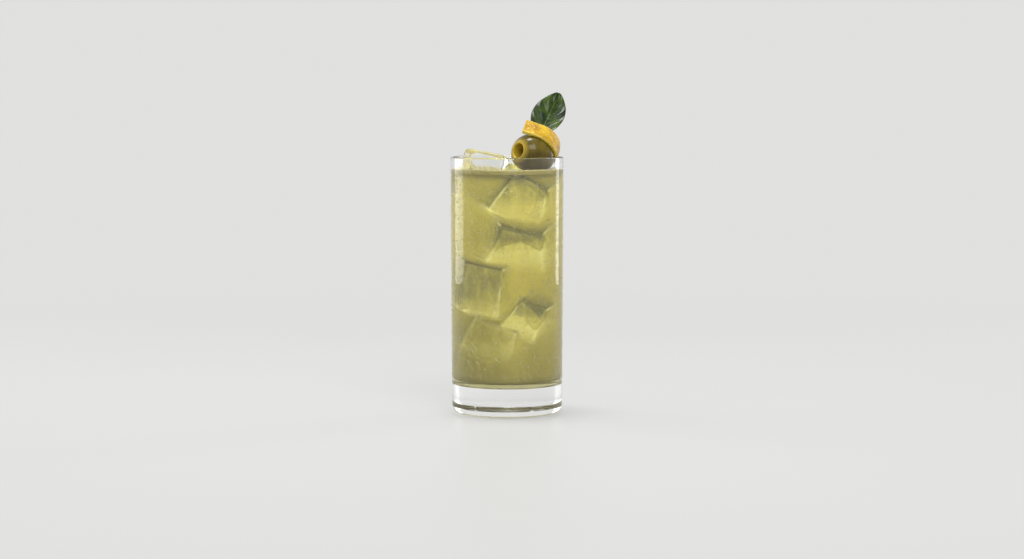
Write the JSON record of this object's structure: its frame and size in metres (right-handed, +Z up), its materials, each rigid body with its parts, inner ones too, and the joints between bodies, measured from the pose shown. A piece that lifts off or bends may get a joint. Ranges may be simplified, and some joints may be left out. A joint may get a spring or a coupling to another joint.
{
  "type": "iced highball cocktail in a tall glass",
  "caption": "Pale cloudy citrus highball on ice in a tall straight thick-based glass, garnished with a pitted green olive, a curled band of lemon peel and a basil leaf",
  "frame": {"origin": "centre of the glass's foot, on the surface that it stands on", "axes": "+Z up along the glass, +X towards the garnish, -Y towards the side that the olive's pit hole faces"},
  "size_m": [0.0676, 0.066, 0.1875],
  "materials": {
    "clear_glass": "clear polished soda-lime glass, smooth, colourless",
    "citrus_drink": "cloudy pale yellow-green citrus drink, see-through near the ice",
    "ice": "clear wet ice with fine bubbles and melt lines",
    "olive_flesh": "wet glossy green olive skin, paler cut rim at the pit hole",
    "lemon_rind": "bright yellow pored rind with a semi-gloss oil sheen and pale pith edges",
    "basil_green": "deep green glossy leaf, quilted between paler veins"
  },
  "bodies": {
    "root": {"glass": "clear_glass", "drink": "citrus_drink", "ice_cube_left": "ice", "ice_cube_middle": "ice", "olive": "olive_flesh", "lemon_peel": "lemon_rind", "basil_leaf": "basil_green"}
  },
  "joints": []
}
